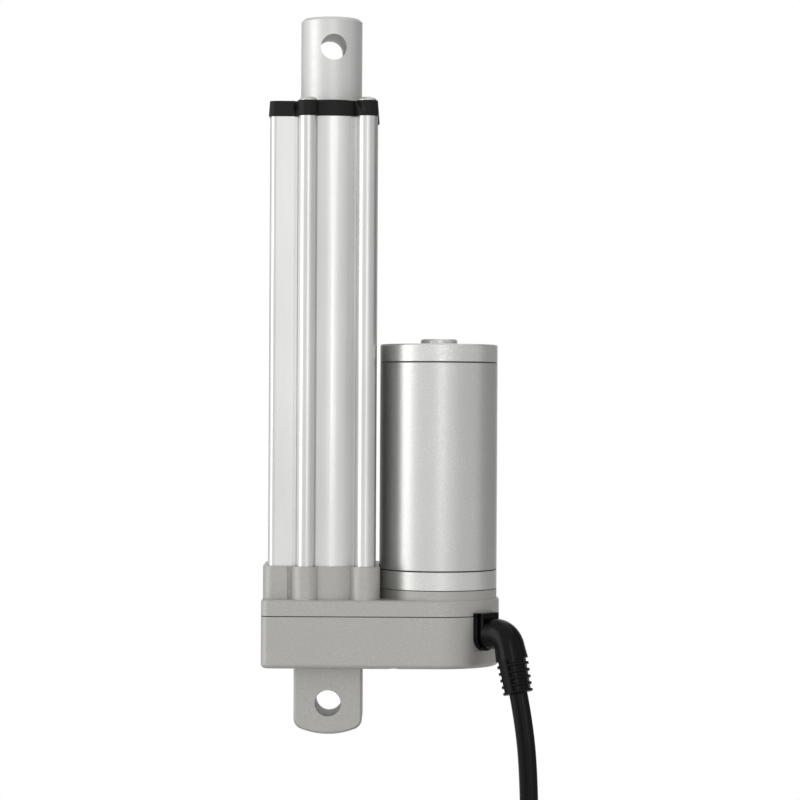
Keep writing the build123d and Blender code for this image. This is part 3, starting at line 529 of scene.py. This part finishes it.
def place_instances(tree, given, part, output, turn=None):
    """Put the part at every place, make it real and give it its finish."""
    links = {"Points": given["Places"], "Instance": part}
    if turn is not None:
        links["Rotation"] = turn
    placed = add_node(tree, "GeometryNodeInstanceOnPoints", links).outputs["Instances"]
    real = add_node(tree, "GeometryNodeRealizeInstances", {"Geometry": placed})
    links = {"Geometry": real.outputs["Geometry"], "Material": given["Finish"]}
    finished = add_node(tree, "GeometryNodeSetMaterial", links)
    tree.links.new(finished.outputs["Geometry"], output["Geometry"])


def pan_screw_tree():
    """Pan head screws with a cross recess, each turned by chance."""
    tree, given, output = new_tree("pan_screws", CAP_SCREW)
    ball = add_node(
        tree,
        "GeometryNodeMeshUVSphere",
        {"Radius": given["Head Radius"]},
        {"Segments": 40, "Rings": 24},
    )
    flatness = calculate(tree, "DIVIDE", given["Head Height"], given["Head Radius"])
    squash = add_node(tree, "ShaderNodeCombineXYZ", {"Z": flatness}, {"X": 1.0, "Y": 1.0})
    links = {"Geometry": ball.outputs["Mesh"], "Scale": squash.outputs["Vector"]}
    dome = add_node(tree, "GeometryNodeTransform", links)
    cut = add_node(
        tree,
        "GeometryNodeMeshBoolean",
        {"Mesh 1": dome.outputs["Geometry"]},
        operation="DIFFERENCE",
        solver="EXACT",
    )
    cut.inputs["Self Intersection"].default_value = True
    reach = calculate(tree, "MULTIPLY", given["Head Radius"], RECESS_REACH)
    deep = calculate(tree, "MULTIPLY", given["Head Height"], RECESS_DEPTH)
    for x, y in ((reach, given["Recess Width"]), (given["Recess Width"], reach)):
        size = add_node(tree, "ShaderNodeCombineXYZ", {"X": x, "Y": y, "Z": deep})
        bar = add_node(tree, "GeometryNodeMeshCube", {"Size": size.outputs["Vector"]})
        tool = lifted(tree, bar.outputs["Mesh"], given["Head Height"])
        tree.links.new(tool, cut.inputs["Mesh 2"])
    shank = cylinder(tree, given["Shank Radius"], given["Shank Length"], 24)
    sunk = lifted(tree, shank, calculate(tree, "MULTIPLY", given["Shank Length"], -0.5))
    screw = joined(tree, cut.outputs["Mesh"], sunk)
    chance = add_node(
        tree, "FunctionNodeRandomValue", values={"Seed": SCREW_TURN_SEED}, data_type="FLOAT"
    )
    chance.inputs[2].default_value = 0.0
    chance.inputs[3].default_value = 2 * pi
    turn = add_node(tree, "ShaderNodeCombineXYZ", {"Z": chance.outputs[1]})
    place_instances(tree, given, screw, output, turn.outputs["Vector"])
    return tree


def seam_shade_tree():
    """Fine dark rings of painted shade that lie in the seams of the motor."""
    tree, given, output = new_tree("seam_shade_rings", SEAM_SHADE_RING)
    circles = []
    for size, resolution in (("Ring Radius", 96), ("Line Radius", 8)):
        circle = add_node(
            tree,
            "GeometryNodeCurvePrimitiveCircle",
            {"Radius": given[size]},
            {"Resolution": resolution},
        )
        circles.append(circle.outputs["Curve"])
    links = {"Curve": circles[0], "Profile Curve": circles[1]}
    tube = add_node(tree, "GeometryNodeCurveToMesh", links)
    place_instances(tree, given, tube.outputs["Mesh"], output)
    return tree


def screw_thread_tree():
    """Lead screw: a core with a left-hand thread round it, one turn for each lead."""
    tree, given, output = new_tree("screw_thread", [*SCREW_THREAD, "Length"])
    turns = calculate(tree, "DIVIDE", given["Length"], given["Lead"])
    depth = calculate(tree, "SUBTRACT", given["Crest Radius"], given["Core Radius"])
    half_core = calculate(tree, "MULTIPLY", given["Core Radius"], 0.5)
    half_crest = calculate(tree, "MULTIPLY", given["Crest Radius"], 0.5)
    middle = calculate(tree, "ADD", half_core, half_crest)
    winding = add_node(
        tree,
        "GeometryNodeCurveSpiral",
        {
            "Rotations": turns,
            "Start Radius": middle,
            "End Radius": middle,
            "Height": given["Length"],
        },
        {"Resolution": 32, "Reverse": False},
    )
    ridge = add_node(
        tree,
        "GeometryNodeCurvePrimitiveQuadrilateral",
        {
            "Height": depth,
            "Bottom Width": calculate(tree, "MULTIPLY", given["Lead"], THREAD_ROOT_WIDTH),
            "Top Width": calculate(tree, "MULTIPLY", given["Lead"], THREAD_CREST_WIDTH),
        },
        {"Offset": 0.0},
        mode="TRAPEZOID",
    )
    level = add_node(
        tree, "GeometryNodeSetCurveNormal", {"Curve": winding.outputs["Curve"]}, mode="Z_UP"
    )
    outward = add_node(
        tree,
        "GeometryNodeTransform",
        {"Geometry": ridge.outputs["Curve"]},
        {"Rotation": (0, 0, pi / 2)},
    )
    thread = add_node(
        tree,
        "GeometryNodeCurveToMesh",
        {"Curve": level.outputs["Curve"], "Profile Curve": outward.outputs["Geometry"]},
        {"Fill Caps": True},
    )
    core = cylinder(tree, given["Core Radius"], given["Length"], 48)
    raised = lifted(tree, core, calculate(tree, "MULTIPLY", given["Length"], 0.5))
    place_instances(tree, given, joined(tree, thread.outputs["Mesh"], raised), output)
    return tree


def smooth(mesh, sharp=SHARP):
    """Smooth shading, with sharp edges past an angle in degrees."""
    mesh.shade_smooth()
    mesh.set_sharp_from_angle(angle=radians(sharp))


def mesh_of(shell, name):
    """Plain mesh of a bmesh, which is freed."""
    mesh = bpy.data.meshes.new(name)
    shell.to_mesh(mesh)
    shell.free()
    return mesh


def grow(name, tree, places, sizes, finish, sharp=SHARP):
    """Plain mesh of a geometry tree, grown at the given places."""
    seeds = bpy.data.meshes.new(name + "_places")
    seeds.from_pydata(places, [], [])
    carrier = bpy.data.objects.new(name + "_carrier", seeds)
    bpy.context.scene.collection.objects.link(carrier)
    modifier = carrier.modifiers.new("grow", "NODES")
    modifier.node_group = tree
    for socket in tree.interface.items_tree:
        if socket.in_out == "INPUT" and socket.name in sizes:
            modifier[socket.identifier] = float(sizes[socket.name])
        elif socket.in_out == "INPUT" and socket.name == "Finish":
            modifier[socket.identifier] = finish
    bpy.context.view_layer.update()
    grown = carrier.evaluated_get(bpy.context.evaluated_depsgraph_get())
    mesh = bpy.data.meshes.new_from_object(grown)
    carrier.modifiers.remove(modifier)
    bpy.data.objects.remove(carrier)
    mesh.name = name
    smooth(mesh, sharp)
    return mesh


def turn_over(mesh, level):
    """Turn a mesh upside down about a horizontal line at a level."""
    down = Matrix.Translation((0, 0, -level))
    mesh.transform(Matrix.Translation((0, 0, level)) @ Matrix.Rotation(pi, 4, "X") @ down)
    return mesh


def make_screws(materials):
    """Cap screws on the front cap and the sunk cover screws under the gearbox."""
    tree = pan_screw_tree()
    steel = materials["zinc_steel"]
    places = [(x * MM, y * MM, CAP_TOP) for x, y in CAP_SCREW_PLACES]
    mesh = grow("cap_screw_set", tree, places, CAP_SCREW, steel)
    add_piece("cap_screw_set", mesh, "housing", "zinc_steel", steel, "cap_screws")
    places = [(x * MM, -y * MM, COVER_SEAT) for x, y in COVER_SCREW_PLACES]
    mesh = turn_over(grow("cover_screw_set", tree, places, COVER_SCREW, steel), COVER_SEAT)
    add_piece("cover_screw_set", mesh, "housing", "zinc_steel", steel, "cover_screws")


def make_seam_shade(materials):
    """Painted shade in the joints of the motor between bell, can and cap, as dark rings in the
    gasket finish.
    """
    places = [(MOTOR_OFFSET, 0, level) for level in MOTOR_SEAMS]
    # The dark gasket finish on these rings is painted shade in the seams
    mesh = grow("motor_seam_shade", seam_shade_tree(), places, SEAM_SHADE_RING, materials["gasket"])
    add_piece("motor_seam_shade", mesh, "housing", "gasket", materials["gasket"])


def make_lead_screw(materials):
    """Threaded screw with its plain journals."""
    low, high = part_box("lead_screw")
    steel = materials["ground_steel"]
    sizes = dict(SCREW_THREAD, Length=high.z - SCREW_JOURNAL_TOP - SCREW_TIP)
    places = [(0, 0, SCREW_JOURNAL_TOP)]
    mesh = grow("threaded_screw", screw_thread_tree(), places, sizes, steel, SCREW_SHARP)
    shell = bmesh.new()
    shell.from_mesh(mesh)
    for radius, start, end in (
        (JOURNAL_RADIUS, SCREW_COLLAR, SCREW_JOURNAL_TOP),
        (TAIL_RADIUS, low.z, SCREW_COLLAR),
    ):
        made = bmesh.ops.create_cone(
            shell, cap_ends=True, segments=48, radius1=radius, radius2=radius, depth=end - start
        )
        bmesh.ops.translate(shell, vec=(0, 0, (start + end) / 2), verts=made["verts"])
    shell.to_mesh(mesh)
    shell.free()
    smooth(mesh, SCREW_SHARP)
    add_piece("threaded_screw", mesh, "screw", "ground_steel", steel, "lead_screw")


def hank_route():
    """Control points of the tied hank. Each turn runs round the bottom lobe, back through the tie
    and round the top lobe, and lies one lead further from the viewer's right. The last turn ends
    in the tail that hangs out below."""
    front = [(-HANK_WAIST, HANK_TIE_RUN), (-HANK_WAIST, -HANK_TIE_RUN)]
    back = [(HANK_WAIST, -HANK_TIE_RUN), (HANK_WAIST, HANK_TIE_RUN)]
    tail = [(-HANK_STRAND, -HANK_REACH - drop) for drop in HANK_TAIL]
    steps = len(LOBE_ANGLES) * 2 + len(front) + len(back)
    points = []
    for turn, looseness in enumerate(HANK_LOOSENESS):
        radius = HANK_LOBE * looseness
        top = [(cos(a) * radius, HANK_REACH + sin(a) * radius) for a in LOBE_ANGLES]
        bottom = [(cos(a + pi) * radius, -HANK_REACH + sin(a + pi) * radius) for a in LOBE_ANGLES]
        rest = bottom[:1] + tail if turn == HANK_TURNS else bottom + back + top
        for index, (along_y, along_z) in enumerate(front + rest):
            progress = min(turn + index / steps, HANK_TURNS)
            x = HANK_CENTRE[0] + LEAD_DIAMETER * (HANK_TURNS / 2 - progress)
            points.append(Vector((x, HANK_CENTRE[1] + along_y, HANK_CENTRE[2] + along_z)))
    return points


def read_route(points):
    """Smooth line through the route: one open NURBS spline, read back as points."""
    curve = bpy.data.curves.new("lead_route", "CURVE")
    curve.dimensions = "3D"
    spline = curve.splines.new("NURBS")
    spline.points.add(len(points) - 1)
    for control, point in zip(spline.points, points):
        control.co = (*point, 1)
    spline.order_u = ROUTE_ORDER
    spline.use_endpoint_u = True
    spline.resolution_u = ROUTE_RESOLUTION
    carrier = bpy.data.objects.new("lead_route", curve)
    bpy.context.scene.collection.objects.link(carrier)
    bpy.context.view_layer.update()
    evaluated = carrier.evaluated_get(bpy.context.evaluated_depsgraph_get())
    line = bpy.data.meshes.new_from_object(evaluated)
    path = [vertex.co.copy() for vertex in line.vertices]
    bpy.data.objects.remove(carrier)
    bpy.data.meshes.remove(line)
    return path


def twin_section(steps=48):
    """Section of the flat twin lead: two round cores side by side with a shallow groove between."""
    outline = []
    core = LEAD_THICKNESS / 2
    offset = LEAD_DIAMETER / 2 - core
    for index in range(steps):
        angle = 2 * pi * (index + 0.5) / steps
        wide = cos(angle) * LEAD_DIAMETER / 2
        beyond = max(abs(wide) - offset, 0) / core
        high = core * sqrt(max(1 - beyond ** 2, 0))
        high -= GROOVE_DEPTH * max(1 - (wide / GROOVE_HALF_WIDTH) ** 2, 0)
        outline.append((wide, high if sin(angle) > 0 else -high))
    return outline


def skin_rings(shell, rings):
    """Faces from each ring of vertices to the next."""
    for first, second in zip(rings, rings[1:]):
        for index in range(len(first)):
            follow = (index + 1) % len(first)
            shell.faces.new((first[index], first[follow], second[follow], second[index]))


def sweep_section(path, section):
    """Closed tube of the section along the path; the section's width stays along one axis."""
    shell = bmesh.new()
    rings = []
    for index, point in enumerate(path):
        before = path[max(index - 1, 0)]
        after = path[min(index + 1, len(path) - 1)]
        tangent = (after - before).normalized()
        wide = (WIDE_AXIS - WIDE_AXIS.dot(tangent) * tangent).normalized()
        high = tangent.cross(wide)
        rings.append([shell.verts.new(point + wide * a + high * b) for a, b in section])
    skin_rings(shell, rings)
    shell.faces.new(list(reversed(rings[0])))
    shell.faces.new(rings[-1])
    bmesh.ops.recalc_face_normals(shell, faces=shell.faces)
    mesh = mesh_of(shell, "swept")
    smooth(mesh, SWEEP_SHARP)
    return mesh


def make_lead(materials):
    """Flat twin lead from the boot through the hank to its bared ends."""
    pvc = materials["black_pvc"]
    path = read_route([Vector(point) * MM for point in LEAD_ROUTE] + hank_route())
    mesh = sweep_section(path, twin_section())
    lead = add_piece("twin_lead", mesh, "housing", "black_pvc", pvc, "lead", "lead_hank")
    cores = make_core_ends(materials)
    tie = make_tie(materials)


def round_section(radius, steps=16):
    """Section of a round core or strand."""
    angles = [2 * pi * index / steps for index in range(steps)]
    return [(radius * cos(angle), radius * sin(angle)) for angle in angles]


def twist_strands(x, y, bottom, radius):
    """Mesh of the twisted strands of one core: one in the middle and the others round it."""
    strands = bmesh.new()
    for strand in range(STRANDS):
        away = radius * STRAND_CIRCLE if strand < STRANDS - 1 else 0
        line = []
        for step in range(STRAND_STEPS + 1):
            share = step / STRAND_STEPS
            angle = 2 * pi * (strand / (STRANDS - 1) + STRAND_TURNS * share)
            z = bottom + STRAND_LENGTH * (1 - share)
            line.append(Vector((x + cos(angle) * away, y + sin(angle) * away, z)))
        strands.from_mesh(sweep_section(line, round_section(radius * STRAND_RADIUS, 8)))
    mesh = mesh_of(strands, "strands")
    mesh.shade_smooth()
    return mesh


def make_core_ends(materials):
    """Two insulated cores with twisted bare ends."""
    low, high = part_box("wire_ends")
    middle = (low.x + high.x) / 2
    level = (low.y + high.y) / 2
    radius = (high.y - low.y) / 2
    offset = (high.x - low.x) / 2 - radius
    tinned = materials["tinned_copper"]
    cores = []
    for side, finish in ((-1, "core_red"), (1, "core_black")):
        straight = middle + side * offset
        splayed = straight + side * CORE_SPLAY
        path = [Vector((straight, level, high.z + step)) for step in SLEEVE_FROM_TOP]
        path += [Vector((splayed, level, low.z + step)) for step in SLEEVE_FROM_BOTTOM]
        mesh = sweep_section(read_route(path), round_section(radius))
        sleeve = add_piece("sleeve_" + finish, mesh, "housing", "black_pvc", materials[finish])
        mesh = twist_strands(splayed, level, low.z, radius)
        bare = add_piece("strands_" + finish, mesh, "housing", "tinned_copper", tinned)
        cores += [sleeve, bare]
    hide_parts("wire_ends")
    return cores


def tie_loop(centre, half_x, half_y):
    """Level loop of the strap round the hank, with rounded corners."""
    loop = []
    for quarter, (side_x, side_y) in enumerate(((1, 1), (-1, 1), (-1, -1), (1, -1))):
        for step in range(TIE_CORNER_STEPS + 1):
            angle = pi / 2 * (quarter + step / TIE_CORNER_STEPS)
            x = side_x * (half_x - TIE_CORNER) + TIE_CORNER * cos(angle)
            y = side_y * (half_y - TIE_CORNER) + TIE_CORNER * sin(angle)
            loop.append(Vector((centre.x + x, centre.y + y, centre.z)))
    return loop


def make_tie(materials):
    """Ratchet tie round the waist of the hank: a strap with rounded corners and its head."""
    low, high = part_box("hank_tie")
    centre = (low + high) / 2
    half_x = (high.x - low.x) / 2 - TIE_INSET
    half_y = (high.y - low.y) / 2 - TIE_INSET
    loop = tie_loop(centre, half_x, half_y)
    thick, tall, edge = TIE_HALF_THICKNESS, (high.z - low.z) / 2, TIE_EDGE
    strap = [
        (-thick, -tall + edge),
        (-thick + edge, -tall),
        (thick - edge, -tall),
        (thick, -tall + edge),
        (thick, tall - edge),
        (thick - edge, tall),
        (-thick + edge, tall),
        (-thick, tall - edge),
    ]
    up = Vector((0, 0, 1))
    shell = bmesh.new()
    rings = []
    for index, point in enumerate(loop):
        tangent = (loop[(index + 1) % len(loop)] - loop[index - 1]).normalized()
        outward = tangent.cross(up)
        rings.append([shell.verts.new(point + outward * a + up * b) for a, b in strap])
    skin_rings(shell, rings + rings[:1])
    bmesh.ops.recalc_face_normals(shell, faces=shell.faces)
    head = bmesh.ops.create_cube(shell, size=1)["verts"]
    bmesh.ops.scale(shell, vec=(*TIE_HEAD, high.z - low.z), verts=head)
    place = Vector((centre.x, low.y + TIE_HEAD_INSET, centre.z))
    bmesh.ops.translate(shell, vec=place, verts=head)
    edges = list({edge for vertex in head for edge in vertex.link_edges})
    bmesh.ops.bevel(shell, geom=edges, offset=TIE_HEAD_BEVEL, segments=2, affect="EDGES")
    mesh = mesh_of(shell, "tie")
    smooth(mesh)
    pvc = materials["black_pvc"]
    return add_piece("ratchet_tie", mesh, "housing", "black_pvc", pvc, "hank_tie")


def lay_floor():
    """Round pale floor under the hank."""
    bpy.ops.mesh.primitive_circle_add(vertices=96, radius=FLOOR_RADIUS, fill_type="NGON")
    floor = bpy.context.object
    floor.name = "floor"
    floor.location = (VIEW_X, 0, cad_low.z - FLOOR_GAP)
    material, _, shader = new_material("floor_white")
    shader.inputs["Base Color"].default_value = (*FLOOR_TONE, 1)
    shader.inputs["Roughness"].default_value = FLOOR_ROUGHNESS
    floor.data.materials.append(material)


def light_world():
    """White to the camera and in reflections, softer as light."""
    world = bpy.data.worlds.new("studio")
    bpy.context.scene.world = world
    world.use_nodes = True
    tree = world.node_tree
    background = tree.nodes["Background"]
    background.inputs["Color"].default_value = (1, 1, 1, 1)
    ray = tree.nodes.new("ShaderNodeLightPath").outputs
    seen = calculate(tree, "MAXIMUM", ray["Is Camera Ray"], ray["Is Glossy Ray"])
    seen = calculate(tree, "MAXIMUM", seen, ray["Is Transmission Ray"])
    strength = spread(tree, seen, 0.0, 1.0, WORLD_AS_LIGHT, WORLD_AS_SEEN)
    tree.links.new(strength, background.inputs["Strength"])


def add_lamp(name, place, size, power):
    """Rectangular soft lamp, aimed at the part."""
    data = bpy.data.lights.new(name, "AREA")
    data.shape = "RECTANGLE"
    data.size, data.size_y = size
    data.energy = power
    lamp = bpy.data.objects.new(name, data)
    lamp.location = place
    aim = (Vector(LAMP_TARGET) - Vector(place)).to_track_quat("-Z", "Y")
    lamp.rotation_euler = aim.to_euler()
    bpy.context.scene.collection.objects.link(lamp)


def add_flag(name, first, last, shade):
    """Curved grey studio flag round the object, between two directions in degrees from the viewer,
    counted towards the motor side. Only gloss shows it: it darkens the sides of round metal."""
    shell = bmesh.new()
    columns = []
    for index in range(FLAG_COLUMNS + 1):
        angle = radians(first + (last - first) * index / FLAG_COLUMNS)
        x = VIEW_X + FLAG_RADIUS * sin(angle)
        y = -FLAG_RADIUS * cos(angle)
        columns.append([shell.verts.new((x, y, z)) for z in (FLAG_LOW, FLAG_HIGH)])
    for left, right in zip(columns, columns[1:]):
        shell.faces.new((left[0], right[0], right[1], left[1]))
    mesh = mesh_of(shell, name)
    flag = bpy.data.objects.new(name, mesh)
    bpy.context.scene.collection.objects.link(flag)
    material, _, shader = new_material(name)
    shader.inputs["Base Color"].default_value = (0, 0, 0, 1)
    shader.inputs["Specular IOR Level"].default_value = 0.0
    shader.inputs["Emission Color"].default_value = (shade, shade, shade, 1)
    shader.inputs["Emission Strength"].default_value = 1.0
    mesh.materials.append(material)
    flag.visible_camera = False
    flag.visible_diffuse = False
    flag.visible_shadow = False


def set_camera():
    """Camera of the reference view: level, looking along +Y."""
    data = bpy.data.cameras.new("view")
    data.lens = VIEW_LENS
    data.sensor_width = VIEW_SENSOR
    data.clip_start, data.clip_end = VIEW_CLIP
    camera = bpy.data.objects.new("view", data)
    camera.location = (VIEW_X, -VIEW_DISTANCE, VIEW_Z)
    camera.rotation_euler = (radians(90), radians(VIEW_ROLL), 0)
    bpy.context.scene.collection.objects.link(camera)
    bpy.context.scene.camera = camera


def main():
    """Finishes, camera, pieces, then the room and its lamps."""
    materials = make_materials()
    dress_nodes(materials)
    set_camera()
    make_lead(materials)
    make_screws(materials)
    make_seam_shade(materials)
    make_lead_screw(materials)
    light_world()
    lay_floor()
    for lamp in LAMPS:
        add_lamp(*lamp)
    for flag in FLAGS:
        add_flag(*flag)


main()
bpy.context.scene.view_settings.view_transform = "Standard"
